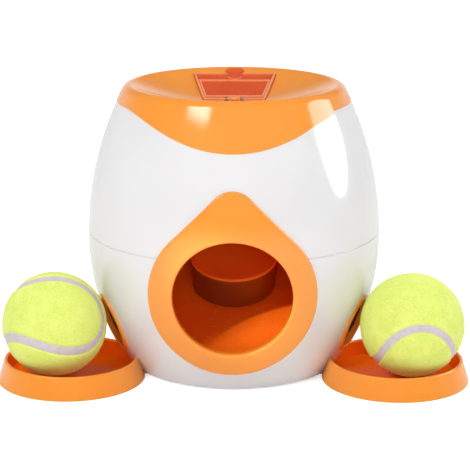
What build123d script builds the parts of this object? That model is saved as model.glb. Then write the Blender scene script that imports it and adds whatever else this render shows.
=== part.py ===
from build123d import *
import os
from math import asin, atan, cos, degrees, pi, radians, sin, sqrt, tan

os.makedirs("parts", exist_ok=True)

# A free-standing pet toy and treat dispenser. Millimetres, +Z up, the front faces -Y.
# The origin is on the ground, on the upright axis of the barrel.

# ---- driving dimensions: barrel ----
BELLY_R = 93.4            # widest radius
BELLY_Z = 83.0
LOWER_ARC_R = 142.6       # meridian radius below the belly
UPPER_ARC_R = 205.9       # meridian radius above the belly
SEAM_Z = 88.0             # joint between the two shells
SHELL_BOTTOM_Z = 1.2
SHELL_WALL = 2.6
SEAM_BEVEL = 0.6
SEAM_LIP_WALL = 1.6
SEAM_LIP_HEIGHT = 4.0
SEAM_LIP_DEPTH = 8.0

# ---- cap, rim and dished top ----
TOP_Z = 181.0
RIM_ROUND = 5.6
RIM_LEAN = 23.8           # slope of the dish where it meets the rim, degrees
CAP_WALL = 2.6
CAP_PROUD = 0.4
CAP_EDGE_Z = 171.0        # lower edge of the cap at the sides
CAP_DIP = 19.0            # how much lower the edge runs at the front and the back
CAP_DIP_AZIMUTH = 66.0    # half width of the dip, degrees
CAP_DIP_STEP = 11
CAP_LOW_Z = 146.0

# ---- hopper hatch, in the tilted plane of its lid ----
LID_FRONT_Y = 9.5
LID_FRONT_Z = 168.6
LID_TILT = 13.05
LID_LENGTH = 43.5
LID_FRONT_HALF = 19.6
LID_BACK_HALF = 27.1
LID_THICK = 2.0
LID_RIDGE_WIDTH = 1.3
LID_RIDGE_HEIGHT = 0.8
LID_GAP = 0.4
LID_SEAT = 2.3            # depth of the rebate that the lid lies in
WELL_DEPTH = 6.0
WELL_WALL = 3.0
OPENING_FRONT = 5.1       # hopper opening, inwards from the lid's edges
OPENING_SIDE = 2.7
OPENING_BACK = 13.3
HINGE_FORE_GAP = 1.6
HINGE_V = 1.2             # hinge axis, behind the front edge of the lid
HINGE_PIN_R = 0.8
HINGE_BARREL_R = 1.5
HINGE_EYE_R = 1.9
HINGE_HALF = 5.9
HINGE_NOTCH_END = 3.4
HINGE_WEB_END = 3.8
POST_INNER = 2.2
POST_OUTER = 3.6
HINGE_SIDE_GAP = 0.2
TAB_HALF = 5.6
TAB_LENGTH = 8.0
TAB_RECESS_HALF = 6.2
TAB_RECESS_LENGTH = 9.0
TONGUE_HALF = 4.75
TONGUE_START = 38.5       # centre of the tongue's round end
TONGUE_HEIGHT = 0.9

# ---- front mouth and its teardrop bezel ----
MOUTH_Z = 64.6
MOUTH_R = 36.3
BEZEL_R = 51.3
BEZEL_TIP_R = 15.0
BEZEL_PROUD = 2.0
COLLAR_WALL = 2.5
COLLAR_INNER_Y = -79.0
BEZEL_EDGE = 1.5

# ---- side outlets ----
OUTLET_AZIMUTH = 66.2     # they face the trays
OUTLET_Z = 33.5
OUTLET_HALF_WIDTH = 15.7
OUTLET_HALF_HEIGHT = 18.8
OUTLET_RING = 3.4
OUTLET_PROUD = 1.2
OUTLET_EDGE = 0.6

# ---- catch trays ----
TRAY_X = 102.2
TRAY_Y = -43.0
TRAY_BASE_R = 46.2
TRAY_RIM_R = 42.3
TRAY_RIM_Z = 14.0
TRAY_RIM_WIDTH = 2.2
TRAY_FLOOR_Z = 4.2
TRAY_FLOOR_R = 38.6
TRAY_SKIN = 2.2
TRAY_TAB_HALF = 15.0
TRAY_TAB_REACH = 52.0

# ---- tennis balls ----
BALL_R = 32.75
BALL_X = 111.5
BALL_Y = -50.0
BALL_LIFT_GAP = 0.35
FELT_THICK = 3.0
CORE_THICK = 3.6

# ---- ball chamber: a sloping deck with walls, under a roof ----
SLOPE = 21.4              # slope of the deck under the drum, degrees
DECK_FRONT_Z = 27.0
DECK_THICK = 2.5
DECK_GAP = 1.8            # between the drum's skirt and the deck
DECK_BEND_START_Y = -68.0
CHAMBER_HALF = 52.0
CHAMBER_WALL = 2.5
CHAMBER_BACK_WALL = 1.8
CHAMBER_TOP_Z = 104.0
CHAMBER_CORNER_R = 12.0
ROOF_THICK = 2.5
BARREL_CLEAR = 0.2

# ---- strike drum and its slider, in the sloping frame (x, u up the slope, w outwards) ----
DRUM_RIM_Z = 69.8
DRUM_R = 28.7
DRUM_FOOT_R = 27.3
DRUM_HEIGHT = 23.0
DRUM_WALL = 2.2
DRUM_RIM_WIDTH = 1.6
DRUM_DISH = 4.6
TRAVEL = 14.0
STEM_HALF_X = 4.5
STEM_HALF_U = 5.0
SOCKET_WALL = 2.0
SLOT_GAP = 0.6
SLIDER_HALF = 8.0
SLIDER_FRONT = -22.0
SLIDER_LOW = -34.0
SLIDER_HIGH = -27.5
SLIDE_FIT = 0.15
CHANNEL_HALF = 13.0
CHANNEL_FRONT = -24.0
CHANNEL_BACK = 19.5
CHANNEL_LOW = -38.0
ARM_FRONT = 20.0
ARM_BACK = 24.0
ARM_HIGH = -29.5
RACK_X0 = 22.0
RACK_X1 = 28.0

# ---- gearing and dosing rotor ----
MODULE = 0.9
PINION_TEETH = 12
PRESSURE_ANGLE = 20.0
BACKLASH = 0.14
RACK_ADDENDUM = 0.65
PINION_DEDENDUM = 1.1     # in modules
ROTOR_U = 60.0
ROTOR_W = -24.0
ROTOR_R = 13.0
ROTOR_HALF = 17.6
ROTOR_GAP = 0.35
POCKET_R = 8.0
POCKET_DEPTH = 9.0
AXLE_R = 2.0
AXLE_GAP = 0.05
AXLE_OVERRUN = 1.0        # axle past the pinion and past the spring
BUSH_R = 4.0
CHEST_HALF_X = 20.5
CHEST_WALL_X = 2.5
CHEST_HALF_Y = 15.5
CHEST_MOUTH_HALF = 9.0
CHEST_DRAIN_HALF = 11.0
CHEST_DEPTH = 14.5
SPRING_WIRE_R = 0.6
SPRING_R = 3.6
SPRING_PITCH = 1.5
SPRING_TURNS = 3

# ---- hopper bin, splitter and chutes ----
BIN_WALL = 2.0
FLANGE_THICK = 2.0
FLANGE_REACH = 2.5
THROAT_HALF_X = 17.0
THROAT_HALF_Y = 10.0
RIDGE_TOP_Z = 50.0
RIDGE_SIDE_Z = 42.0
SPLITTER_WALL = 2.0
CHUTE_END_X = 76.0        # past the shell, which cuts it off
CHUTE_END_Y = -44.0
CHUTE_END_Z = 16.5
CHUTE_END_HALF = 14.0
CHUTE_HEIGHT = 8.0
CHUTE_WALL = 2.0

# ---- base ----
BASE_R = 64.0
BASE_LOW_Z = 1.7
BASE_HIGH_Z = 4.2
FLANGE_R = 57.0
FLANGE_HIGH_Z = 6.8
FOOT_R = 7.0
FOOT_RING = 46.0
POST_R = 4.0
POST_X = 30.0
POST_YS = (-40.0, 5.0)
SCREW_RING = 61.0
SCREW_R = 1.3
SCREW_HEAD_R = 2.7
SCREW_HEAD_HEIGHT = 1.5
SCREW_AZIMUTHS = (45, 135, 225, 315)
FOOT_AZIMUTHS = (0, 90, 180, 270)

# ---- derived values ----
FAR = 130.0
TOLERANCE = 0.02          # for picking edges by where they lie
EDGE_SAMPLES = 5
RIM_Z = TOP_Z - RIM_ROUND
RIM_CENTRE_R = (BELLY_R - UPPER_ARC_R
                + sqrt((UPPER_ARC_R + CAP_PROUD - RIM_ROUND) ** 2 - (RIM_Z - BELLY_Z) ** 2))
RIM_START = degrees(asin((RIM_Z - BELLY_Z) / (UPPER_ARC_R + CAP_PROUD - RIM_ROUND)))
DISH_EDGE_R = RIM_CENTRE_R - RIM_ROUND * sin(radians(RIM_LEAN))
DISH_EDGE_Z = RIM_Z + RIM_ROUND * cos(radians(RIM_LEAN))
DISH_R = DISH_EDGE_R / sin(radians(RIM_LEAN))
DISH_CENTRE_Z = DISH_EDGE_Z + DISH_R * cos(radians(RIM_LEAN))
RISE = sin(radians(SLOPE))
RUN = cos(radians(SLOPE))
DECK_W = -DRUM_HEIGHT - DECK_GAP
PITCH_R = MODULE * PINION_TEETH / 2
RACK_PITCH_W = ROTOR_W - PITCH_R
ROTOR_Y = ROTOR_U * RUN - ROTOR_W * RISE
ROTOR_Z = DRUM_RIM_Z + ROTOR_U * RISE + ROTOR_W * RUN
CHEST_TOP_Z = ROTOR_Z + CHEST_DEPTH
CHEST_LOW_Z = ROTOR_Z - CHEST_DEPTH
CHAMBER_BACK_Y = ROTOR_Y - CHEST_HALF_Y
INSIDE_OFFSET = -SHELL_WALL - SEAM_LIP_WALL - BARREL_CLEAR

SLOPE_PLANE = Plane(origin=(0, 0, DRUM_RIM_Z), x_dir=(1, 0, 0), z_dir=(0, -RISE, RUN))
LID_PLANE = Plane(
    origin=(0, LID_FRONT_Y, LID_FRONT_Z),
    x_dir=(1, 0, 0),
    z_dir=(0, -sin(radians(LID_TILT)), cos(radians(LID_TILT))),
)


# ---- helpers ----
def save(shape, node):
    shape.label = node
    export_step(shape, f"parts/{node}.step")


def outer_radius(z, offset=0.0):
    """Radius of the barrel's outer surface at height z, moved outwards by offset."""
    arc_r = LOWER_ARC_R if z < BELLY_Z else UPPER_ARC_R
    return BELLY_R - arc_r + sqrt((arc_r + offset) ** 2 - (z - BELLY_Z) ** 2)


def meridian(offset, low, high):
    """Arcs of the barrel's outline between two heights."""
    stops = [low, BELLY_Z, high] if low < BELLY_Z < high else [low, high]
    arcs = []
    for start, end in zip(stops, stops[1:]):
        middle = (start + end) / 2
        arcs.append(ThreePointArc(
            (outer_radius(start, offset), start),
            (outer_radius(middle, offset), middle),
            (outer_radius(end, offset), end),
        ))
    return arcs


def spin(edges):
    """Turn a closed outline, drawn as (radius, height), about the upright axis."""
    return revolve(Plane.XZ * make_face(edges), Axis.Z, 360)


def barrel(offset, low, high):
    """Solid inside the barrel's outer surface, moved outwards by offset."""
    edges = [
        Line((0, low), (outer_radius(low, offset), low)),
        *meridian(offset, low, high),
        Line((outer_radius(high, offset), high), (0, high)),
        Line((0, high), (0, low)),
    ]
    return spin(edges)


def block(x0, x1, y0, y1, z0, z1):
    return Pos((x0 + x1) / 2, (y0 + y1) / 2, (z0 + z1) / 2) * Box(x1 - x0, y1 - y0, z1 - z0)


def on_slope(x0, x1, u0, u1, w0, w1):
    return SLOPE_PLANE * block(x0, x1, u0, u1, w0, w1)


def on_lid(x0, x1, v0, v1, w0, w1):
    return LID_PLANE * block(x0, x1, v0, v1, w0, w1)


def rod_x(radius, x0, x1, y, z):
    return Pos((x0 + x1) / 2, y, z) * Rot(0, 90, 0) * Cylinder(radius, x1 - x0)


def rod_y(radius, y0, y1, z):
    return Pos(0, (y0 + y1) / 2, z) * Rot(90, 0, 0) * Cylinder(radius, y1 - y0)


def rod_z(radius, x, y, z0, z1):
    return Pos(x, y, (z0 + z1) / 2) * Cylinder(radius, z1 - z0)


def polar(radius, azimuth):
    return radius * cos(radians(azimuth)), radius * sin(radians(azimuth))


# ---- cap ----
def cap_body(inset):
    """Solid under the cap's outer skin, moved inwards by inset."""
    offset = CAP_PROUD - inset
    rim_r = RIM_ROUND - inset
    dish_r = DISH_R + inset
    rim_top = RIM_Z + rim_r * sin(radians(RIM_START))
    rim_end = 90 + RIM_LEAN
    edge = (RIM_CENTRE_R + rim_r * cos(radians(rim_end)), RIM_Z + rim_r * sin(radians(rim_end)))
    half = radians(RIM_LEAN / 2)
    middle = (dish_r * sin(half), DISH_CENTRE_Z - dish_r * cos(half))
    centre = (0, DISH_CENTRE_Z - dish_r)
    edges = [
        Line((0, CAP_LOW_Z), (outer_radius(CAP_LOW_Z, offset), CAP_LOW_Z)),
        *meridian(offset, CAP_LOW_Z, rim_top),
        CenterArc((RIM_CENTRE_R, RIM_Z), rim_r, RIM_START, rim_end - RIM_START),
        ThreePointArc(edge, middle, centre),
        Line(centre, (0, CAP_LOW_Z)),
    ]
    return spin(edges)


def cap_zone():
    """Everything above the wavy line where the cap meets the upper shell."""
    points = []
    for azimuth in range(-int(CAP_DIP_AZIMUTH), int(CAP_DIP_AZIMUTH) + 1, CAP_DIP_STEP):
        dip = CAP_DIP * cos(radians(azimuth * 90 / CAP_DIP_AZIMUTH)) ** 2
        z = CAP_EDGE_Z - dip
        points.append((outer_radius(z) * sin(radians(azimuth)), z))
    left = (-FAR, CAP_EDGE_Z)
    right = (FAR, CAP_EDGE_Z)
    edges = [
        Line(left, points[0]),
        Spline(*points, tangents=((1, 0), (1, 0))),
        Line(points[-1], right),
        Line(right, (FAR, FAR * 2)),
        Line((FAR, FAR * 2), (-FAR, FAR * 2)),
        Line((-FAR, FAR * 2), left),
    ]
    return extrude(Plane.XZ * make_face(edges), FAR, both=True)


def lid_face(front, side, back, depth):
    """Trapezoid inside the lid's outline, by its distance from each edge, at one depth."""
    lean = (LID_BACK_HALF - LID_FRONT_HALF) / LID_LENGTH
    start = front
    end = LID_LENGTH - back
    start_half = LID_FRONT_HALF + lean * start - side
    end_half = LID_FRONT_HALF + lean * end - side
    corners = [(-start_half, start), (start_half, start), (end_half, end), (-end_half, end)]
    return LID_PLANE * Pos(0, 0, depth) * make_face(Polyline(*corners, close=True).edges())


def lid_outline(inset, low, high):
    return extrude(lid_face(inset, inset, inset, low), high - low, dir=LID_PLANE.z_dir)


def opening_face(grow, depth):
    """Outline of the hopper opening, grown outwards."""
    return lid_face(OPENING_FRONT - grow, OPENING_SIDE - grow, OPENING_BACK - grow, depth)


def opening_outline(grow, low, high):
    return extrude(opening_face(grow, low), high - low, dir=LID_PLANE.z_dir)


def hinge_posts():
    posts = Part()
    for side in (-1, 1):
        x0, x1 = sorted((side * POST_INNER, side * POST_OUTER))
        foot = on_lid(x0, x1, HINGE_V - HINGE_EYE_R, HINGE_V + HINGE_EYE_R, -WELL_DEPTH, 0)
        eye = LID_PLANE * rod_x(HINGE_EYE_R, x0, x1, HINGE_V, 0)
        posts += foot + eye
    return posts - hinge_pin()


def hinge_pin():
    return LID_PLANE * rod_x(HINGE_PIN_R, -HINGE_HALF, HINGE_HALF, HINGE_V, 0)


def top_cap():
    skin = (cap_body(0) - cap_body(CAP_WALL)) & cap_zone()
    well = lid_outline(-WELL_WALL, -WELL_DEPTH, WELL_DEPTH) & cap_body(0)
    curb = lid_outline(0, -WELL_DEPTH, -LID_SEAT)
    rebate = lid_outline(-LID_GAP, -LID_SEAT, FAR)
    fore = on_lid(-LID_FRONT_HALF - LID_GAP, LID_FRONT_HALF + LID_GAP,
                  -HINGE_FORE_GAP, HINGE_NOTCH_END, -LID_SEAT - HINGE_V, FAR)
    opening = opening_outline(0, -FAR, FAR)
    finger = on_lid(-TAB_RECESS_HALF, TAB_RECESS_HALF,
                    LID_LENGTH, LID_LENGTH + TAB_RECESS_LENGTH, -LID_SEAT, FAR)
    return skin + well + curb - rebate - fore - opening - finger + hinge_posts()


def hopper_lid():
    plate = lid_outline(0, -LID_THICK, 0)
    edge_ridge = lid_outline(0, 0, LID_RIDGE_HEIGHT) - lid_outline(LID_RIDGE_WIDTH, 0, LID_RIDGE_HEIGHT)
    window_ridge = opening_outline(LID_RIDGE_WIDTH, 0, LID_RIDGE_HEIGHT)
    window_ridge -= opening_outline(0, 0, LID_RIDGE_HEIGHT)
    tab_end = LID_LENGTH + TAB_LENGTH
    tab = on_lid(-TAB_HALF, TAB_HALF, TONGUE_START, tab_end, -LID_THICK, 0)
    tongue = on_lid(-TONGUE_HALF, TONGUE_HALF, TONGUE_START, tab_end, 0, TONGUE_HEIGHT)
    tongue += LID_PLANE * Pos(0, TONGUE_START, TONGUE_HEIGHT / 2) * Cylinder(TONGUE_HALF, TONGUE_HEIGHT)
    notch = on_lid(-HINGE_HALF, HINGE_HALF, -HINGE_V, HINGE_NOTCH_END, -FAR, FAR)
    barrel_x = POST_INNER - HINGE_SIDE_GAP
    knuckle = LID_PLANE * rod_x(HINGE_BARREL_R, -barrel_x, barrel_x, HINGE_V, 0)
    web = on_lid(-barrel_x, barrel_x, HINGE_V, HINGE_WEB_END, -LID_THICK / 2, 0)
    bore = LID_PLANE * rod_x(HINGE_PIN_R + AXLE_GAP, -HINGE_HALF, HINGE_HALF, HINGE_V, 0)
    return plate + edge_ridge + window_ridge + tab + tongue - notch + knuckle + web - bore


# ---- shells ----
def skin_edges(shape, offset):
    """Edges that lie on the barrel's outer surface, moved outwards by offset."""
    on_skin = []
    for edge in shape.edges():
        points = [edge @ (step / (EDGE_SAMPLES - 1)) for step in range(EDGE_SAMPLES)]
        gaps = [abs(sqrt(p.X ** 2 + p.Y ** 2) - outer_radius(p.Z, offset)) for p in points]
        if max(gaps) < TOLERANCE:
            on_skin.append(edge)
    return on_skin


def mouth_hole(radius):
    return rod_y(radius, -FAR, -FAR / 2, MOUTH_Z)


def outlet_prism(side, inset):
    """Oval column through one side of the barrel."""
    azimuth = radians(OUTLET_AZIMUTH)
    out = (side * sin(azimuth), -cos(azimuth), 0)
    start = BELLY_R / 2
    plane = Plane(
        origin=(out[0] * start, out[1] * start, OUTLET_Z),
        x_dir=(-out[1], out[0], 0),
        z_dir=out,
    )
    oval = Ellipse(OUTLET_HALF_WIDTH - inset, OUTLET_HALF_HEIGHT - inset)
    return extrude(plane * oval, BELLY_R)


def shell_holes():
    return mouth_hole(MOUTH_R + COLLAR_WALL) + outlet_prism(-1, 0) + outlet_prism(1, 0)


def seam_bevel(z, flip):
    """Ring that bevels the outer edge at the seam."""
    tip = z - flip * SEAM_BEVEL
    past = outer_radius(z) + SEAM_LIP_WALL
    edges = Polyline(
        (outer_radius(z) - SEAM_BEVEL, z),
        (past, z + flip * SEAM_LIP_WALL),
        (past, tip),
        (outer_radius(tip), tip),
        close=True,
    )
    return spin(edges.edges())


def lower_shell():
    wall = barrel(0, SHELL_BOTTOM_Z, SEAM_Z) - barrel(-SHELL_WALL, SHELL_BOTTOM_Z, SEAM_Z)
    lip_low = SEAM_Z - SEAM_LIP_DEPTH
    lip_high = SEAM_Z + SEAM_LIP_HEIGHT
    lip = barrel(-SHELL_WALL, lip_low, lip_high) - barrel(-SHELL_WALL - SEAM_LIP_WALL, lip_low, lip_high)
    flange = barrel(-SHELL_WALL / 2, BASE_HIGH_Z, FLANGE_HIGH_Z) - rod_z(FLANGE_R, 0, 0, 0, SEAM_Z)
    shell = wall + lip + flange - seam_bevel(SEAM_Z, 1) - shell_holes()
    for azimuth in SCREW_AZIMUTHS:
        x, y = polar(SCREW_RING, azimuth)
        shell -= rod_z(SCREW_R, x, y, 0, SEAM_Z / 2)
    return shell


def upper_shell():
    wall = barrel(0, SEAM_Z, RIM_Z) - barrel(-SHELL_WALL, SEAM_Z, RIM_Z)
    return wall - cap_zone() - seam_bevel(SEAM_Z, -1) - mouth_hole(MOUTH_R + COLLAR_WALL)


def teardrop():
    """Round below, with 45 degree sides that run up to a rounded tip."""
    tip_z = MOUTH_Z + (BEZEL_R - BEZEL_TIP_R) * sqrt(2)
    half = 1 / sqrt(2)
    sides = Polyline(
        (BEZEL_R * half, MOUTH_Z + BEZEL_R * half),
        (BEZEL_TIP_R * half, tip_z + BEZEL_TIP_R * half),
        (-BEZEL_TIP_R * half, tip_z + BEZEL_TIP_R * half),
        (-BEZEL_R * half, MOUTH_Z + BEZEL_R * half),
        close=True,
    )
    face = make_face(sides.edges())
    face += Pos(0, MOUTH_Z) * Circle(BEZEL_R)
    face += Pos(0, tip_z) * Circle(BEZEL_TIP_R)
    return extrude(Plane.XZ * face, FAR)


def front_bezel():
    low = SHELL_BOTTOM_Z
    plate = teardrop() & (barrel(BEZEL_PROUD, low, RIM_Z) - barrel(0, low, RIM_Z))
    plate -= block(-FAR, FAR, 0, FAR, 0, FAR)
    collar = rod_y(MOUTH_R + COLLAR_WALL, -FAR, COLLAR_INNER_Y, MOUTH_Z) & barrel(BEZEL_PROUD, low, RIM_Z)
    bezel = plate + collar - mouth_hole(MOUTH_R)
    return fillet(skin_edges(bezel, BEZEL_PROUD), BEZEL_EDGE)


def outlet_bezel():
    """Ring round the outlet on the +X side."""
    low = SHELL_BOTTOM_Z
    ring = outlet_prism(1, 0) - outlet_prism(1, OUTLET_RING)
    ring &= barrel(OUTLET_PROUD, low, SEAM_Z) - barrel(-SHELL_WALL, low, SEAM_Z)
    return fillet(skin_edges(ring, OUTLET_PROUD), OUTLET_EDGE)


# ---- trays ----
def tray():
    """Tray on the +X side."""
    rim_mid = TRAY_RIM_R - TRAY_RIM_WIDTH / 2
    rim_low = TRAY_RIM_Z - TRAY_RIM_WIDTH / 2
    edges = [
        Line((0, TRAY_FLOOR_Z - TRAY_SKIN), (TRAY_FLOOR_R + TRAY_SKIN, TRAY_FLOOR_Z - TRAY_SKIN)),
        Line((TRAY_FLOOR_R + TRAY_SKIN, TRAY_FLOOR_Z - TRAY_SKIN), (TRAY_BASE_R - TRAY_SKIN, 0)),
        Line((TRAY_BASE_R - TRAY_SKIN, 0), (TRAY_BASE_R, 0)),
        Line((TRAY_BASE_R, 0), (TRAY_RIM_R, rim_low)),
        ThreePointArc((TRAY_RIM_R, rim_low), (rim_mid, TRAY_RIM_Z), (TRAY_RIM_R - TRAY_RIM_WIDTH, rim_low)),
        Line((TRAY_RIM_R - TRAY_RIM_WIDTH, rim_low), (TRAY_FLOOR_R, TRAY_FLOOR_Z)),
        Line((TRAY_FLOOR_R, TRAY_FLOOR_Z), (0, TRAY_FLOOR_Z)),
        Line((0, TRAY_FLOOR_Z), (0, TRAY_FLOOR_Z - TRAY_SKIN)),
    ]
    dish = Pos(TRAY_X, TRAY_Y, 0) * spin(edges)
    dish -= barrel(0, 0, SEAM_Z)
    tab = block(TRAY_TAB_REACH, TRAY_X - TRAY_FLOOR_R / 2,
                TRAY_Y / 2 - TRAY_TAB_HALF, TRAY_Y / 2 + TRAY_TAB_HALF, 0, SHELL_BOTTOM_Z)
    return dish + tab


# ---- balls ----
def ball_layer(outer, thick):
    centre = Pos(BALL_X, BALL_Y, TRAY_FLOOR_Z + BALL_LIFT_GAP + BALL_R)
    return centre * (Sphere(outer) - Sphere(outer - thick))


def ball_core():
    return ball_layer(BALL_R - FELT_THICK, CORE_THICK)


def ball_felt():
    return ball_layer(BALL_R, FELT_THICK)


# ---- ball chamber ----
def above_deck(lower, half, back, top):
    """Space above the deck's surface, lowered by lower, between two side planes."""
    w = DECK_W - lower
    line_y = -w * RISE
    line_z = DRUM_RIM_Z + w * RUN
    flat_z = DECK_FRONT_Z - lower
    knee_y = line_y - (line_z - flat_z) / tan(radians(SLOPE))
    reach = knee_y - DECK_BEND_START_Y
    end = (knee_y + reach * RUN, flat_z + reach * RISE)
    back_z = line_z + (back - line_y) * tan(radians(SLOPE))
    bend_r = reach / tan(radians(SLOPE / 2))
    middle = (DECK_BEND_START_Y + bend_r * sin(radians(SLOPE / 2)),
              flat_z + bend_r * (1 - cos(radians(SLOPE / 2))))
    edges = [
        Line((-FAR, flat_z), (DECK_BEND_START_Y, flat_z)),
        ThreePointArc((DECK_BEND_START_Y, flat_z), middle, end),
        Line(end, (back, back_z)),
        Line((back, back_z), (back, top)),
        Line((back, top), (-FAR, top)),
        Line((-FAR, top), (-FAR, flat_z)),
    ]
    return extrude(Plane.YZ * make_face(edges), half, both=True)


def rounded_cavity():
    """Inside of the ball chamber, with its floor rounded up into its walls."""
    front = -FAR
    back = FAR / 2
    cavity = above_deck(0, CHAMBER_HALF, back, CHAMBER_TOP_Z)
    floor_edges = []
    for edge in cavity.edges():
        centre = edge.center()
        beside_wall = abs(abs(centre.X) - CHAMBER_HALF) < TOLERANCE
        below_top = centre.Z < CHAMBER_TOP_Z - TOLERANCE
        between_ends = front + TOLERANCE < centre.Y < back - TOLERANCE
        if beside_wall and below_top and between_ends:
            floor_edges.append(edge)
    return fillet(floor_edges, CHAMBER_CORNER_R)


def ball_deck():
    outside = above_deck(DECK_THICK, CHAMBER_HALF + CHAMBER_WALL, CHAMBER_BACK_Y, CHAMBER_TOP_Z)
    trough = outside - rounded_cavity()
    trough &= barrel(INSIDE_OFFSET, SHELL_BOTTOM_Z, RIM_Z)
    trough -= block(-FAR, FAR, -FAR, COLLAR_INNER_Y, 0, FAR)
    slot = on_slope(
        -STEM_HALF_X - SLOT_GAP, STEM_HALF_X + SLOT_GAP,
        -STEM_HALF_U - SLOT_GAP, STEM_HALF_U + TRAVEL + SLOT_GAP,
        DECK_W - DECK_THICK * 2, DECK_W + DECK_THICK)
    return trough - slot


def chamber_roof():
    half = CHAMBER_HALF + CHAMBER_WALL
    plate = block(-half, half, COLLAR_INNER_Y, CHAMBER_BACK_Y, CHAMBER_TOP_Z, CHAMBER_TOP_Z + ROOF_THICK)
    return (plate & barrel(INSIDE_OFFSET, SHELL_BOTTOM_Z, RIM_Z)) - bin_outer()


def chamber_back():
    half = CHAMBER_HALF
    wall = block(-half, half, CHAMBER_BACK_Y - CHAMBER_BACK_WALL, CHAMBER_BACK_Y, DECK_FRONT_Z, CHAMBER_TOP_Z)
    return (wall & rounded_cavity()) - bin_outer()


# ---- strike drum, slider and its channel ----
def strike_drum():
    rim_in = DRUM_R - DRUM_RIM_WIDTH
    rim_mid = DRUM_R - DRUM_RIM_WIDTH / 2
    rim_w = -DRUM_RIM_WIDTH / 2
    under = -DRUM_DISH - DRUM_WALL
    sag = DRUM_DISH + rim_w
    dish_r = (rim_in ** 2 + sag ** 2) / (2 * sag)
    half = asin(rim_in / dish_r) / 2
    dish_mid = (dish_r * sin(half), -DRUM_DISH + dish_r * (1 - cos(half)))
    lean = (DRUM_R - DRUM_FOOT_R) / (DRUM_HEIGHT + rim_w)
    under_r = DRUM_R - DRUM_WALL - lean * (rim_w - under)
    edges = [
        Line((0, -DRUM_DISH), (0, under)),
        Line((0, under), (under_r, under)),
        Line((under_r, under), (DRUM_FOOT_R - DRUM_WALL, -DRUM_HEIGHT)),
        Line((DRUM_FOOT_R - DRUM_WALL, -DRUM_HEIGHT), (DRUM_FOOT_R, -DRUM_HEIGHT)),
        Line((DRUM_FOOT_R, -DRUM_HEIGHT), (DRUM_R, rim_w)),
        ThreePointArc((DRUM_R, rim_w), (rim_mid, 0), (rim_in, rim_w)),
        ThreePointArc((rim_in, rim_w), dish_mid, (0, -DRUM_DISH)),
    ]
    cup = SLOPE_PLANE * spin(edges)
    socket_x = STEM_HALF_X + SOCKET_WALL
    socket_u = STEM_HALF_U + SOCKET_WALL
    socket = on_slope(-socket_x, socket_x, -socket_u, socket_u, -DRUM_HEIGHT + SOCKET_WALL, under)
    socket -= on_slope(-STEM_HALF_X, STEM_HALF_X, -STEM_HALF_U, STEM_HALF_U, -DRUM_HEIGHT, under)
    return cup + socket


def rack_teeth():
    """Straight-sided teeth that point towards the pinion, drawn in the (u, w) plane."""
    step = pi * MODULE
    lean = tan(radians(PRESSURE_ANGLE))
    half = step / 4 - BACKLASH / 2
    tip_w = RACK_PITCH_W + RACK_ADDENDUM
    root_w = RACK_PITCH_W - MODULE
    tip_half = half - lean * (tip_w - RACK_PITCH_W)
    root_half = half + lean * (RACK_PITCH_W - root_w)
    count = int((TRAVEL + PITCH_R * 2) / step)
    first = ROTOR_U + step / 2 - step * (count - 1)
    teeth = []
    for index in range(count):
        u = first + index * step
        corners = [(u - root_half, root_w), (u + root_half, root_w), (u + tip_half, tip_w), (u - tip_half, tip_w)]
        tooth = extrude(Plane.YZ * make_face(Polyline(*corners, close=True).edges()), RACK_X1 - RACK_X0)
        teeth.append(SLOPE_PLANE * Pos(RACK_X0, 0, 0) * tooth)
    return teeth, first - step / 2, u + step / 2, root_w


def slider_rack():
    plate = on_slope(-SLIDER_HALF, SLIDER_HALF, SLIDER_FRONT, ARM_FRONT, SLIDER_LOW, SLIDER_HIGH)
    stem = on_slope(-STEM_HALF_X, STEM_HALF_X, -STEM_HALF_U, STEM_HALF_U,
                    SLIDER_HIGH, -DRUM_DISH - DRUM_WALL)
    arm = on_slope(-SLIDER_HALF, RACK_X1, ARM_FRONT, ARM_BACK, SLIDER_LOW, ARM_HIGH)
    teeth, start, end, root_w = rack_teeth()
    bar = on_slope(RACK_X0, RACK_X1, ARM_FRONT, end, SLIDER_LOW, root_w)
    body = plate + stem + arm + bar
    for tooth in teeth:
        body += tooth
    return body


def slide_channel():
    outer = on_slope(-CHANNEL_HALF, CHANNEL_HALF, CHANNEL_FRONT, CHANNEL_BACK,
                     CHANNEL_LOW, DECK_W - DECK_THICK)
    half = SLIDER_HALF + SLIDE_FIT
    inner = on_slope(-half, half, CHANNEL_FRONT, CHANNEL_BACK, SLIDER_LOW - SLIDE_FIT, DECK_W)
    return outer - inner


# ---- dosing rotor ----
def involute_point(base_r, radius, start_angle, side):
    """Point of an involute flank at a given radius."""
    roll = sqrt((radius / base_r) ** 2 - 1)
    angle = start_angle + side * (roll - atan(roll))
    return radius * cos(angle), radius * sin(angle)


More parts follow.
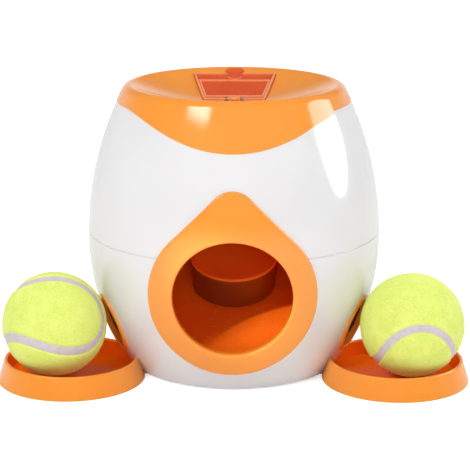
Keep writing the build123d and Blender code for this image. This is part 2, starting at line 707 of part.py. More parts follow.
def rotor_pinion():
    tip_r = PITCH_R + MODULE
    root_r = PITCH_R - MODULE * PINION_DEDENDUM
    base_r = PITCH_R * cos(radians(PRESSURE_ANGLE))
    pitch_roll = sqrt((PITCH_R / base_r) ** 2 - 1)
    flank_turn = pitch_roll - atan(pitch_roll)
    half_tooth = pi / (2 * PINION_TEETH) - BACKLASH / 2 / PITCH_R
    disc = Circle(root_r)
    for index in range(PINION_TEETH):
        centre = -pi / 2 + index * 2 * pi / PINION_TEETH
        lines = []
        ends = []
        for side in (-1, 1):
            start = centre + side * (half_tooth + flank_turn)
            radii = (base_r, (base_r + PITCH_R) / 2, PITCH_R, (PITCH_R + tip_r) / 2, tip_r)
            flank = [involute_point(base_r, r, start, -side) for r in radii]
            foot = (BUSH_R * cos(start), BUSH_R * sin(start))
            lines += [Line(foot, flank[0]), Spline(*flank)]
            ends.append((foot, flank[-1]))
        lines += [Line(ends[0][1], ends[1][1]), Line(ends[0][0], ends[1][0])]
        disc += make_face(lines)
    gear = extrude(Plane.YZ * disc, RACK_X1 - RACK_X0)
    bore = rod_x(AXLE_R, RACK_X0, RACK_X1, 0, 0)
    placed = SLOPE_PLANE * Pos(0, ROTOR_U, ROTOR_W) * (Pos(RACK_X0, 0, 0) * gear - bore)
    return placed


def dosing_rotor():
    drum = rod_x(ROTOR_R, -ROTOR_HALF, ROTOR_HALF, ROTOR_Y, ROTOR_Z)
    pocket_z = ROTOR_Z + ROTOR_R - POCKET_DEPTH
    inner_half = ROTOR_HALF - CHEST_WALL_X
    pocket = block(-inner_half, inner_half, ROTOR_Y - POCKET_R, ROTOR_Y + POCKET_R,
                   pocket_z, ROTOR_Z + ROTOR_R)
    pocket = fillet(pocket.edges().filter_by(Axis.X).group_by(Axis.Z)[0], POCKET_R / 2)
    return drum - pocket - rod_x(AXLE_R, -ROTOR_HALF, ROTOR_HALF, ROTOR_Y, ROTOR_Z)


def rotor_axle():
    spring_end = CHEST_HALF_X + SPRING_PITCH * (SPRING_TURNS + 1)
    return rod_x(AXLE_R, -spring_end - AXLE_OVERRUN, RACK_X1 + AXLE_OVERRUN, ROTOR_Y, ROTOR_Z)


def axle_bushes():
    bushes = []
    for side in (-1, 1):
        x0, x1 = sorted((side * (CHEST_HALF_X - CHEST_WALL_X), side * CHEST_HALF_X))
        ring = rod_x(BUSH_R, x0, x1, ROTOR_Y, ROTOR_Z) - rod_x(AXLE_R + AXLE_GAP, x0, x1, ROTOR_Y, ROTOR_Z)
        bushes.append(ring)
    return Compound(children=bushes)


def rotor_chest():
    chest = block(-CHEST_HALF_X, CHEST_HALF_X, ROTOR_Y - CHEST_HALF_Y, ROTOR_Y + CHEST_HALF_Y,
                  CHEST_LOW_Z, CHEST_TOP_Z)
    inner = CHEST_HALF_X - CHEST_WALL_X
    chest -= rod_x(ROTOR_R + ROTOR_GAP, -inner, inner, ROTOR_Y, ROTOR_Z)
    mouth_half = inner - CHEST_WALL_X
    chest -= block(-mouth_half, mouth_half, ROTOR_Y - CHEST_MOUTH_HALF, ROTOR_Y + CHEST_MOUTH_HALF,
                   ROTOR_Z, CHEST_TOP_Z)
    chest -= block(-mouth_half, mouth_half, ROTOR_Y - CHEST_DRAIN_HALF, ROTOR_Y + CHEST_DRAIN_HALF,
                   CHEST_LOW_Z, ROTOR_Z)
    return chest - rod_x(BUSH_R, -CHEST_HALF_X, CHEST_HALF_X, ROTOR_Y, ROTOR_Z)


def return_spring():
    """Torsion spring round the axle; its fixed leg is hooked in the chest's side wall."""
    length = SPRING_PITCH * SPRING_TURNS
    x0 = -CHEST_HALF_X - length - SPRING_PITCH / 2
    coil_path = Helix(SPRING_PITCH, length, SPRING_R)
    section = Plane(origin=coil_path @ 0, z_dir=coil_path % 0) * Circle(SPRING_WIRE_R)
    coil = sweep(section, path=coil_path, is_frenet=True)
    coil = Pos(x0, ROTOR_Y, ROTOR_Z) * Rot(0, 90, 0) * coil
    leg_y = ROTOR_Y
    leg_z = ROTOR_Z - SPRING_R
    leg = rod_x(SPRING_WIRE_R, -CHEST_HALF_X - SPRING_PITCH / 2, -CHEST_HALF_X, leg_y, leg_z)
    return coil + leg


# ---- hopper, splitter, chutes ----
def throat_face(inset, z):
    half_x = THROAT_HALF_X - inset
    half_y = THROAT_HALF_Y - inset
    return Pos(0, ROTOR_Y, z) * Rectangle(half_x * 2, half_y * 2)


def bin_outer():
    top = opening_face(BIN_WALL, -WELL_DEPTH - FLANGE_THICK)
    return loft([throat_face(0, CHEST_TOP_Z), top], ruled=True)


def hopper_bin():
    low = -WELL_DEPTH - FLANGE_THICK
    flange = lid_outline(-FLANGE_REACH, low, -WELL_DEPTH)
    inner = loft([throat_face(BIN_WALL, CHEST_TOP_Z), opening_face(0, low)], ruled=True)
    return flange + bin_outer() - inner - opening_outline(0, low, -WELL_DEPTH)


def treat_splitter():
    y0 = ROTOR_Y - CHEST_HALF_Y
    y1 = ROTOR_Y + CHEST_HALF_Y
    low = RIDGE_SIDE_Z - SPLITTER_WALL
    corners = [
        (-CHEST_HALF_X, RIDGE_SIDE_Z),
        (0, RIDGE_TOP_Z),
        (CHEST_HALF_X, RIDGE_SIDE_Z),
        (CHEST_HALF_X, low),
        (0, RIDGE_TOP_Z - SPLITTER_WALL),
        (-CHEST_HALF_X, low),
    ]
    ridge = extrude(Plane.XZ * make_face(Polyline(*corners, close=True).edges()), -(y1 - y0))
    ridge = Pos(0, y0, 0) * ridge
    front = block(-CHEST_HALF_X, CHEST_HALF_X, y0, y0 + SPLITTER_WALL, low, CHEST_LOW_Z)
    back = block(-CHEST_HALF_X, CHEST_HALF_X, y1 - SPLITTER_WALL, y1, low, CHEST_LOW_Z)
    return (ridge + front + back) & barrel(-SHELL_WALL - BARREL_CLEAR, SHELL_BOTTOM_Z, SEAM_Z)


def chute_section(x, y, half, low, high):
    corners = [(y - half, low), (y + half, low), (y + half, high), (y - half, high)]
    return Plane.YZ.offset(x) * make_face(Polyline(*corners, close=True).edges())


def chute():
    """Trough from the splitter to the outlet on the +X side."""
    start_low = RIDGE_SIDE_Z - SPLITTER_WALL
    top = CHUTE_HEIGHT * 2
    outer = loft([
        chute_section(CHEST_HALF_X, ROTOR_Y, CHEST_HALF_Y, start_low, start_low + CHUTE_HEIGHT),
        chute_section(CHUTE_END_X, CHUTE_END_Y, CHUTE_END_HALF, CHUTE_END_Z, CHUTE_END_Z + CHUTE_HEIGHT),
    ], ruled=True)
    inner = loft([
        chute_section(CHEST_HALF_X, ROTOR_Y, CHEST_HALF_Y - CHUTE_WALL,
                      start_low + CHUTE_WALL, start_low + top),
        chute_section(CHUTE_END_X, CHUTE_END_Y, CHUTE_END_HALF - CHUTE_WALL,
                      CHUTE_END_Z + CHUTE_WALL, CHUTE_END_Z + top),
    ], ruled=True)
    trough = outer - inner
    return trough & barrel(-SHELL_WALL - BARREL_CLEAR, SHELL_BOTTOM_Z, SEAM_Z)


# ---- base ----
def base_plate():
    plate = rod_z(BASE_R, 0, 0, BASE_LOW_Z, BASE_HIGH_Z)
    for azimuth in SCREW_AZIMUTHS:
        x, y = polar(SCREW_RING, azimuth)
        plate -= rod_z(SCREW_R, x, y, 0, FLANGE_HIGH_Z)
    deck_space = above_deck(DECK_THICK, FAR, FAR, FAR)
    for y in POST_YS:
        for x in (-POST_X, POST_X):
            plate += rod_z(POST_R, x, y, BASE_HIGH_Z, CHAMBER_TOP_Z) - deck_space
    return plate


def base_screws():
    screws = []
    for azimuth in SCREW_AZIMUTHS:
        x, y = polar(SCREW_RING, azimuth)
        shank = rod_z(SCREW_R, x, y, BASE_LOW_Z, FLANGE_HIGH_Z)
        head = rod_z(SCREW_HEAD_R, x, y, BASE_LOW_Z - SCREW_HEAD_HEIGHT, BASE_LOW_Z)
        screws.append(shank + head)
    return Compound(children=screws)


def rubber_feet():
    feet = [rod_z(FOOT_R, 0, 0, 0, BASE_LOW_Z)]
    for azimuth in FOOT_AZIMUTHS:
        x, y = polar(FOOT_RING, azimuth)
        feet.append(rod_z(FOOT_R, x, y, 0, BASE_LOW_Z))
    return Compound(children=feet)


# ---- write every piece ----
save(lower_shell(), "lower_shell")
save(upper_shell(), "upper_shell")
save(top_cap(), "top_cap")
save(front_bezel(), "front_bezel")
save(hopper_lid(), "hopper_lid")
save(hinge_pin(), "lid_hinge_pin")
save(hopper_bin(), "hopper_bin")
save(rotor_chest(), "rotor_chest")
save(dosing_rotor(), "dosing_rotor")
save(rotor_axle(), "rotor_axle")
save(rotor_pinion(), "rotor_pinion")
save(axle_bushes(), "axle_bushes")
save(return_spring(), "return_spring")
save(treat_splitter(), "treat_splitter")
save(ball_deck(), "ball_deck")
save(chamber_roof(), "chamber_roof")
save(chamber_back(), "chamber_back")
save(strike_drum(), "strike_drum")
save(slider_rack(), "slider_rack")
save(slide_channel(), "slide_channel")
save(base_plate(), "base_plate")
save(base_screws(), "base_screws")
save(rubber_feet(), "rubber_feet")
for make, node in (
    (outlet_bezel, "outlet_bezel"),
    (tray, "tray"),
    (chute, "chute"),
    (ball_core, "ball_core"),
    (ball_felt, "ball_felt"),
):
    save(make(), f"right_{node}")
    save(mirror(make(), about=Plane.YZ), f"left_{node}")
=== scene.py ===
import math
import random

import bmesh
import bpy
from mathutils import Euler, Matrix, Quaternion, Vector, noise
from mathutils.kdtree import KDTree


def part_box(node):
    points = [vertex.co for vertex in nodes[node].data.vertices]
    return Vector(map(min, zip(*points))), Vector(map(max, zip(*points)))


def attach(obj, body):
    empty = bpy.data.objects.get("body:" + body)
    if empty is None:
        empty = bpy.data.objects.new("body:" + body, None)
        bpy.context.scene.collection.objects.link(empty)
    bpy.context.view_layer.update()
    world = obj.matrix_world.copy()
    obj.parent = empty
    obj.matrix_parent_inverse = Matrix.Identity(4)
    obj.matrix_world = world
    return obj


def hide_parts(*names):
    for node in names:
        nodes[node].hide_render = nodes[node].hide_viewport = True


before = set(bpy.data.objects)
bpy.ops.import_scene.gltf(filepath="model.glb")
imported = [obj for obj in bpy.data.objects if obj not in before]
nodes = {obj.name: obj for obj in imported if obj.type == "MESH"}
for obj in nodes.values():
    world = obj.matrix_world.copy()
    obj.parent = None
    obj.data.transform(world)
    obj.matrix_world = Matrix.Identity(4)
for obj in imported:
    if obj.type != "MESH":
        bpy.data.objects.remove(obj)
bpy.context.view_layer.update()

# Lengths are in metres and angles in degrees. A pair called a span is where a blend starts and
# ends.

# ---- camera, fitted to the outline of the barrel, trays and balls ----
CAMERA_REACH = 1.064
CAMERA_HEIGHT = 0.358
CAMERA_YAW = 0.6              # to the right of the front
CAMERA_PITCH = 14.55          # below level
CAMERA_CLIP_END = 30.0
FOCAL_PX = 1703.0             # focal length in pixels of a 470 px wide frame
FRAME_PX = 470.0
AXIS_LEFT_PX = 1.0            # how far left of the middle the barrel's axis stands
SENSOR_MM = 36.0

# ---- hatch lid, in its tilted plane ----
LID_FRONT = (0.0, 0.0095, 0.1686)
LID_TILT = 13.05
LID_FRONT_HALF = 0.0196
LID_LEAN = 0.172                        # how much wider the lid gets towards its back
LID_RIDGE_SPAN = (0.0001, 0.0003)       # height at which the raised frame starts
LID_TAB_SIDE_SPAN = (0.0049, 0.0054)    # half the width of the tab at the back
LID_TAB_FRONT_SPAN = (0.0325, 0.0335)   # its distance from the lid's front edge
LID_GROOVE_OUTER_SPAN = (0.0010, 0.0013)
LID_GROOVE_INNER_SPAN = (0.0017, 0.0020)
# the groove's darkness is painted shade, and the edge colour is a painted highlight on the lid's
# frame and side walls
LID_GROOVE_PAINTED_SHADE = 0.8
LID_SIDE_SPAN = (0.3, 0.6)              # how level a face is, from a side wall to a top face
LID_PAINTED_HIGHLIGHT_COLOR = (1.0, 0.42, 0.19)
LID_ALPHA = (0.55, 0.85)                # of the panes and of the frame

# ---- drum and trays, for the painted shade within one piece ----
DRUM_CENTRE = (0.0, 0.0, 0.0698)
DRUM_TILT = 21.4
DRUM_WALL_SPAN = (0.0264, 0.0268)       # distance from the drum's axis
DRUM_LIP_SPAN = (-0.0022, -0.0012)      # height over the drum's centre
# painted shade on the drum's wall below its rim
DRUM_SKIRT_PAINTED_SHADE = (0.24, 0.045, 0.006)
DRUM_SKIRT_GLOSS = 0.3
TRAY_CENTRE = (0.1022, -0.043, 0.0)
TRAY_RIM_Z = 0.014
TRAY_RIM_R = 0.0423
TRAY_LEAN = 0.28                        # how much wider a tray gets per height downwards
TRAY_WALL_SPAN = (TRAY_RIM_R - 0.0024, TRAY_RIM_R - 0.0018)
TRAY_LIP_SPAN = (TRAY_RIM_Z - 0.0016, TRAY_RIM_Z - 0.0004)
# painted shade on a tray's floor and inner wall
TRAY_INSIDE_PAINTED_SHADE = (1.0, 0.15, 0.003)
TRAY_INSIDE_GLOSS = 0.04

# ---- the balls ----
BALL_R = 0.03275
FELT_SINK = 0.00035           # felt surface below the ball's nominal radius
FELT_R = BALL_R - FELT_SINK
FELT_SUBDIVISIONS = 7
FELT_CLUMPS = ((26.0, 0.00010), (70.0, 0.00007))    # how fine and how high
GROOVE_DEPTH = 0.0007
GROOVE_INNER = 0.75           # the groove's wall, in halves of the seam's width
GROOVE_OUTER = 1.25
PAD_PLACE = 1.9               # the felt's padded edge, in halves of the seam's width
PAD_SPREAD = 0.8
PAD_HEIGHT = 0.00012
SEAM_SHAPES = {"left": 0.755, "right": 0.86}    # 1 is a circle, 0.5 a four-lobed star
SEAM_WIDTHS = {"left": 0.0071, "right": 0.0056}
SEAM_TURNS = {"left": (143.4, 69.4, 151.5), "right": (-22.2, 158.5, 45.5)}
SEAM_POINTS = 480
SEAM_ACROSS = 7
SEAM_BED = 1.25               # the strip's edge, in depths of the groove
SEAM_CROWN = 0.8              # its rounded height, in depths of the groove
SEAM_ROUNDING = 0.97
SEAM_OVERLAP = 1.08           # how much wider than the seam it is, under the felt
SEAM_WAVES = (40.0, 0.00006)  # how fine and how high
SEAM_WAVE_TURN = 0.05
FUZZ_COUNT = 15000
FUZZ_FACES = 2
FUZZ_LENGTH = (0.0006, 0.0016)
FUZZ_WIDTH = 0.00007
FUZZ_TAPER = 0.7
FUZZ_ROOT_DEPTH = 0.0001
FUZZ_RISE = (0.05, 0.42)
FUZZ_REACH = (0.8, 1.0)
FUZZ_DROOP = (0.3, 1.2)
SEED = 11

# ---- floor and world ----
FLOOR_SIZE = 6.0
FLOOR_GLOW = 0.55             # added to the floor where it is seen
FLOOR_MIRROR_GLOW = 0.08      # added to it in reflections
SKY_FRONT_LOW = 0.13          # strengths of the light from the world
SKY_FRONT_HIGH = 0.12
SKY_LEFT = 0.80
SKY_RIGHT = 1.35
SKY_OVERHEAD = 0.30
SKY_FRONT_SPAN = (0.15, 0.35)           # upwards
SKY_SIDES_SPAN = (-0.6, 0.6)            # from left to right
SKY_ASIDE_SPAN = (-0.40, 0.25)          # from front to back
SKY_OVERHEAD_SPAN = (0.5, 0.95)         # upwards
MIRROR_FRONT = 0.30           # strengths of the world in reflections
MIRROR_UP = 0.55
MIRROR_WHITE = 0.78
MIRROR_BACK = 0.15
MIRROR_FRONT_SPAN = (0.1, 0.5)          # upwards
MIRROR_BACK_SPAN = (0.10, 0.45)         # upwards
MIRROR_BEHIND_SPAN = (-0.60, 0.0)       # from front to back
GLINT_STRENGTH = 12.0         # soft patch whose reflection is the highlight on the cap
GLINT_ACROSS = (0.766, -0.643)          # level direction across it, 40 degrees left of the front
GLINT_SIDE_SPAN = (0.12, 0.21)
GLINT_BOTTOM_SPAN = (0.56, 0.65)
GLINT_TOP_SPAN = (0.68, 0.76)
GLINT_FRONT_SPAN = (-0.3, -0.2)

# ---- lamps ----
MOUTH_SPOT = {                # its beam just fits through the mouth
    "place": (-0.62, -0.93, 0.69), "target": (0.0, -0.085, 0.064),
    "power": 48.0, "angle": 3.0, "blend": 0.5, "radius": 0.012,
}
AREA_LAMPS = {
    "key_front_left": {
        "place": (-0.581, -0.861, 0.882), "target": (0.0, 0.0, 0.10),
        "size": (0.36, 0.36), "shape": "ELLIPSE", "power": 6.2,
    },
    "fill_front": {
        "place": (0.10, -1.20, 0.385), "target": (0.0, 0.0, 0.07),
        "size": (0.40, 0.24), "shape": "RECTANGLE", "power": 2.7,
    },
    "fill_right": {
        "place": (0.98, -0.70, 0.60), "target": (0.0, 0.0, 0.07),
        "size": (0.40, 0.40), "shape": "RECTANGLE", "power": 2.3,
    },
    "window_right": {
        "place": (0.665, 0.055, 0.385), "target": (0.0, 0.055, 0.345),
        "size": (0.39, 0.52), "shape": "ELLIPSE", "power": 2.7, "roll": -20.0,
        "only_mirrored": True,
    },
}


# ---- node trees ----
class Graph:
    """Short way to write the nodes of a material or of the world."""

    def __init__(self, tree):
        self.tree = tree

    def add(self, kind, **values):
        node = self.tree.nodes.new(kind)
        for key, value in values.items():
            setattr(node, key, value)
        return node

    def link(self, source, target):
        self.tree.links.new(source, target)

    def feed(self, socket, value):
        """Set a socket to a number or a colour, or link it to an output."""
        if isinstance(value, (int, float)):
            socket.default_value = value
        elif isinstance(value, tuple):
            socket.default_value = (*value, 1.0)
        else:
            self.link(value, socket)

    def math(self, operation, *values):
        node = self.add("ShaderNodeMath", operation=operation)
        for socket, value in zip(node.inputs, values):
            self.feed(socket, value)
        return node.outputs["Value"]

    def ramp(self, source, low, high, span=(0.3, 0.7), kind="LINEAR"):
        """low up to the span's start, high from its end."""
        node = self.add("ShaderNodeMapRange", interpolation_type=kind)
        for name, number in zip(("From Min", "From Max", "To Min", "To Max"), (*span, low, high)):
            node.inputs[name].default_value = number
        self.link(source, node.inputs["Value"])
        return node.outputs["Result"]

    def fade(self, source, low, high, span):
        """A ramp with soft ends."""
        return self.ramp(source, low, high, span, "SMOOTHSTEP")

    def blend(self, factor, low, high):
        """low where factor is 0, high where it is 1."""
        part = self.math("MULTIPLY", factor, self.math("SUBTRACT", high, low))
        return self.math("ADD", low, part)

    def mix(self, kind, factor, low, high):
        node = self.add("ShaderNodeMix", data_type=kind)
        for name, value in (("Factor", factor), ("A", low), ("B", high)):
            self.feed(node.inputs[name], value)
        return node.outputs["Result"]

    def vector(self, operation, first, second):
        node = self.add("ShaderNodeVectorMath", operation=operation)
        self.link(first, node.inputs[0])
        node.inputs[1].default_value = second
        return node.outputs

    def minus(self, first, second):
        return self.vector("SUBTRACT", first, second)["Vector"]

    def dot(self, first, second):
        return self.vector("DOT_PRODUCT", first, second)["Value"]

    def length(self, vector):
        node = self.add("ShaderNodeVectorMath", operation="LENGTH")
        self.link(vector, node.inputs[0])
        return node.outputs["Value"]


class Shader(Graph):
    """A material, in the coordinates of its object."""

    def __init__(self, name):
        self.material = bpy.data.materials.new(name)
        self.material.use_nodes = True
        super().__init__(self.material.node_tree)
        self.bsdf = self.tree.nodes["Principled BSDF"]
        self.coordinates = self.add("ShaderNodeTexCoord")
        self.place = self.coordinates.outputs["Object"]

    def noise(self, scale, detail=3.0, roughness=0.5, stretch=None):
        place = self.place
        if stretch:
            mapping = self.add("ShaderNodeMapping")
            mapping.inputs["Scale"].default_value = stretch
            self.link(place, mapping.inputs["Vector"])
            place = mapping.outputs["Vector"]
        node = self.add("ShaderNodeTexNoise")
        node.inputs["Scale"].default_value = scale
        node.inputs["Detail"].default_value = detail
        node.inputs["Roughness"].default_value = roughness
        self.link(place, node.inputs["Vector"])
        return node.outputs["Fac"]

    def tint(self, source, low, high, span=(0.3, 0.7)):
        """Colour that goes from low to high with the source."""
        return self.mix("RGBA", self.ramp(source, 0.0, 1.0, span), low, high)

    def bump(self, height, strength, distance, after=None):
        node = self.add("ShaderNodeBump")
        node.inputs["Strength"].default_value = strength
        node.inputs["Distance"].default_value = distance
        self.link(height, node.inputs["Height"])
        if after:
            self.link(after, node.inputs["Normal"])
        return node.outputs["Normal"]

    def set(self, **values):
        for key, value in values.items():
            self.feed(self.bsdf.inputs[key.replace("_", " ")], value)


# ---- parts of a piece that carry painted shade in their colour ----
def drum_skirt(s):
    """Mask of the painted shade: 1 on the drum's outer wall below its rim, 0 on the rim and the
    dish.
    """
    tilt = math.radians(DRUM_TILT)
    offset = s.minus(s.place, DRUM_CENTRE)
    height = s.dot(offset, (0.0, -math.sin(tilt), math.cos(tilt)))
    squared = s.math(
        "SUBTRACT", s.math("POWER", s.length(offset), 2.0), s.math("POWER", height, 2.0))
    outer = s.ramp(squared, 0.0, 1.0, [radius ** 2 for radius in DRUM_WALL_SPAN])
    return s.math("MULTIPLY", outer, s.ramp(height, 1.0, 0.0, DRUM_LIP_SPAN))


def tray_inside(s):
    """Mask of the painted shade: 1 on the floor and inner wall of a tray, 0 on its outside and rim.
    """
    parts = s.add("ShaderNodeSeparateXYZ")
    s.link(s.place, parts.inputs["Vector"])
    height = parts.outputs["Z"]
    mirrored = s.add("ShaderNodeCombineXYZ")
    s.link(s.math("ABSOLUTE", parts.outputs["X"]), mirrored.inputs["X"])
    s.link(parts.outputs["Y"], mirrored.inputs["Y"])
    radius = s.length(s.minus(mirrored.outputs["Vector"], TRAY_CENTRE))
    lean = s.math("MULTIPLY", s.math("SUBTRACT", TRAY_RIM_Z, height), TRAY_LEAN)
    within = s.ramp(s.math("SUBTRACT", radius, lean), 1.0, 0.0, TRAY_WALL_SPAN)
    return s.math("MULTIPLY", within, s.ramp(height, 1.0, 0.0, TRAY_LIP_SPAN))


# ---- materials ----
def gloss_plastic(name, low, high, rough=(0.11, 0.15), coat=0.3, glow=0.0, painted_shade_zone=None):
    """Moulded plastic: faint colour drift, slightly uneven polish and a trace of orange peel.

    glow is the share of light that spreads under the surface. The last argument holds a mask,
    and the painted shade colour and the strength of the reflections where the mask is 1.
    """
    s = Shader(name)
    drift = s.noise(14.0, detail=2.0)
    polish = s.noise(240.0, roughness=0.6)
    peel = s.noise(900.0, detail=2.0)
    sink = s.noise(38.0, detail=1.0)
    normal = s.bump(peel, strength=0.35, distance=0.000008)
    normal = s.bump(sink, strength=0.35, distance=0.0001, after=normal)
    color = s.tint(drift, low, high)
    if painted_shade_zone:
        where, painted_shade_color, painted_shade_gloss = painted_shade_zone
        mask = where(s)
        # where the mask is 1 the colour is painted shade
        color = s.mix("RGBA", mask, color, painted_shade_color)
        s.set(Specular_IOR_Level=s.ramp(mask, 0.5, painted_shade_gloss, (0.0, 1.0)))
    s.set(
        Base_Color=color,
        Roughness=s.ramp(polish, *rough),
        Normal=normal,
        IOR=1.5,
        Coat_Weight=coat,
        Coat_Roughness=0.04,
        Subsurface_Weight=glow,
        Subsurface_Scale=0.004,
    )
    s.bsdf.inputs["Subsurface Radius"].default_value = (1.0, 0.14, 0.02)
    return s.material


def matte_plastic(name, low, high, rough=(0.42, 0.58), grain=0.00006):
    """Spark-textured plastic."""
    s = Shader(name)
    drift = s.noise(30.0)
    spark = s.noise(2600.0, roughness=0.7)
    s.set(
        Base_Color=s.tint(drift, low, high),
        Roughness=s.ramp(spark, *rough),
        Normal=s.bump(spark, strength=0.5, distance=grain),
        IOR=1.48,
    )
    return s.material


def metal(name, low, high, stretch):
    """Drawn or turned metal with fine lines along its length."""
    s = Shader(name)
    lines = s.noise(900.0, detail=5.0, roughness=0.7, stretch=stretch)
    smudge = s.noise(120.0)
    s.set(
        Base_Color=s.tint(smudge, low, high),
        Metallic=1.0,
        Roughness=s.ramp(lines, 0.18, 0.36),
        Normal=s.bump(lines, strength=0.3, distance=0.00002),
    )
    return s.material


def rubber(name, low, high, fineness=(160.0, 1800.0), rough=(0.62, 0.8), grain=0.00008):
    """Mottled rubber with a fine grain."""
    s = Shader(name)
    mottle = s.noise(fineness[0], detail=4.0, roughness=0.6)
    pores = s.noise(fineness[1], roughness=0.7)
    s.set(
        Base_Color=s.tint(mottle, low, high),
        Roughness=s.ramp(pores, *rough),
        Normal=s.bump(pores, strength=0.5, distance=grain),
    )
    return s.material


def clear_lid():
    """See-through reddish plastic with a painted highlight on its ridges and edges."""
    s = Shader("clear_reddish_plastic")
    tilt = math.radians(LID_TILT)
    outwards = (0.0, -math.sin(tilt), math.cos(tilt))
    uphill = (0.0, math.cos(tilt), math.sin(tilt))
    flow = s.noise(60.0, stretch=(1.0, 0.25, 1.0))
    haze = s.noise(240.0)
    offset = s.minus(s.place, LID_FRONT)
    height = s.dot(offset, outwards)
    along = s.dot(offset, uphill)
    across = s.math("ABSOLUTE", s.dot(offset, (1.0, 0.0, 0.0)))

    # the raised frame, without the tab, gets a painted highlight, with painted shade for a groove
    # along its middle
    beside_tab = s.ramp(across, 0.0, 1.0, LID_TAB_SIDE_SPAN)
    before_tab = s.ramp(along, 1.0, 0.0, LID_TAB_FRONT_SPAN)
    off_tab = s.math("MAXIMUM", beside_tab, before_tab)
    ridge = s.math("MULTIPLY", s.ramp(height, 0.0, 1.0, LID_RIDGE_SPAN), off_tab)
    half = s.math("MULTIPLY_ADD", along, LID_LEAN, LID_FRONT_HALF)
    edge = s.math("MINIMUM", s.math("SUBTRACT", half, across), along)
    groove = s.math(
        "MULTIPLY",
        s.ramp(edge, 0.0, LID_GROOVE_PAINTED_SHADE, LID_GROOVE_OUTER_SPAN),
        s.ramp(edge, LID_GROOVE_PAINTED_SHADE, 0.0, LID_GROOVE_INNER_SPAN))
    ridge = s.math("MULTIPLY", ridge, s.math("SUBTRACT", 1.0, groove))

    # faces that stand sideways get the painted highlight as well
    level = s.math("ABSOLUTE", s.dot(s.coordinates.outputs["Normal"], outwards))
    side = s.ramp(level, 1.0, 0.0, LID_SIDE_SPAN)
    painted_highlight = s.math("MAXIMUM", ridge, side)
    body = s.tint(flow, (0.90, 0.11, 0.028), (0.98, 0.15, 0.042))
    s.set(
        Base_Color=s.mix("RGBA", painted_highlight, body, LID_PAINTED_HIGHLIGHT_COLOR),
        Roughness=s.ramp(haze, 0.06, 0.10),
        Normal=s.bump(flow, strength=0.2, distance=0.0001),
        IOR=1.49,
        Alpha=s.ramp(painted_highlight, *LID_ALPHA, (0.0, 1.0)),
    )
    return s.material


def felt():
    """Bright napped felt: fibre clumps, painted shade in the darker pits between them and a soft
    sheen.
    """
    s = Shader("ball_felt_nap")
    clumps = s.noise(900.0, detail=5.0, roughness=0.62)
    fibres = s.noise(2400.0, detail=4.0, roughness=0.7)
    patches = s.noise(120.0, detail=2.0)
    # the colour follows the clump noise of the bump: painted shade in the pits, mixed with patches
    # of real tone
    pit_shade_and_tone = s.mix("FLOAT", 0.35, clumps, patches)
    s.set(
        Base_Color=s.tint(pit_shade_and_tone, (0.72, 0.84, 0.14), (0.86, 0.95, 0.25), (0.36, 0.62)),
        Roughness=0.95,
        Normal=s.bump(s.math("ADD", clumps, fibres), strength=0.5, distance=0.0003),
        Sheen_Weight=0.3,
        Sheen_Roughness=0.5,
        Sheen_Tint=(0.9, 1.0, 0.5),
    )
    return s.material


ORANGE_COLORS = ((0.99, 0.325, 0.036), (1.0, 0.34, 0.042))
ORANGE = gloss_plastic("orange_gloss_shell", *ORANGE_COLORS, glow=0.3)
# redder orange for the parts inside the body: painted shade of the orange plastic
ORANGE_PAINTED_SHADE = gloss_plastic(
    "orange_gloss_inside_painted_shade", (0.99, 0.175, 0.007), (1.0, 0.19, 0.010), rough=(0.24, 0.28),
    coat=0.1, glow=0.3)
# the tray's floor and inner wall get a deeper red: painted shade
TRAY = gloss_plastic(
    "orange_gloss_tray", *ORANGE_COLORS, coat=0.0, glow=0.3,
    painted_shade_zone=(tray_inside, TRAY_INSIDE_PAINTED_SHADE, TRAY_INSIDE_GLOSS))
# the drum's orange is redder, and its wall below the rim dark: painted shade
DRUM_PAINTED_SHADE = gloss_plastic(
    "orange_gloss_drum_painted_shade", (0.99, 0.20, 0.012), (1.0, 0.21, 0.014), coat=0.1, glow=0.3,
    painted_shade_zone=(drum_skirt, DRUM_SKIRT_PAINTED_SHADE, DRUM_SKIRT_GLOSS))
WHITE = gloss_plastic("white_gloss_shell", (0.785, 0.775, 0.785), (0.80, 0.79, 0.80))
WHITE_MATTE = matte_plastic("white_spark_plastic", (0.76, 0.76, 0.74), (0.82, 0.82, 0.80))
ACETAL = matte_plastic(
    "natural_acetal", (0.80, 0.80, 0.76), (0.86, 0.86, 0.82), rough=(0.32, 0.46), grain=0.00003)
STEEL = metal("drawn_steel", (0.58, 0.58, 0.59), (0.70, 0.70, 0.70), (0.04, 1.0, 1.0))
BRASS = metal("turned_brass", (0.72, 0.50, 0.20), (0.84, 0.62, 0.30), (1.0, 0.1, 0.1))
FOOT = rubber("foot_rubber_black", (0.02, 0.02, 0.02), (0.045, 0.045, 0.045))
CORE = rubber("ball_core_rubber", (0.03, 0.03, 0.028), (0.06, 0.06, 0.055))
LID = clear_lid()
FELT = felt()
SEAM = rubber(
    "ball_seam_cement", (0.62, 0.54, 0.57), (0.70, 0.63, 0.66), fineness=(260.0, 1700.0),
    rough=(0.7, 0.88), grain=0.0002)

NODE_MATERIALS = {
    WHITE: ("lower_shell", "upper_shell"),
    ORANGE: ("top_cap", "front_bezel", "left_outlet_bezel", "right_outlet_bezel"),
    TRAY: ("left_tray", "right_tray"),
    DRUM_PAINTED_SHADE: ("strike_drum",),
    ORANGE_PAINTED_SHADE: ("hopper_bin", "rotor_chest", "treat_splitter", "left_chute", "right_chute",
                   "ball_deck", "chamber_roof", "chamber_back"),
    WHITE_MATTE: ("base_plate",),
    ACETAL: ("dosing_rotor", "rotor_pinion", "slider_rack", "slide_channel"),
    STEEL: ("rotor_axle", "return_spring", "lid_hinge_pin", "base_screws"),
    BRASS: ("axle_bushes",),
    FOOT: ("rubber_feet",),
    CORE: ("left_ball_core", "right_ball_core"),
    FELT: ("left_ball_felt", "right_ball_felt"),
    LID: ("hopper_lid",),
}


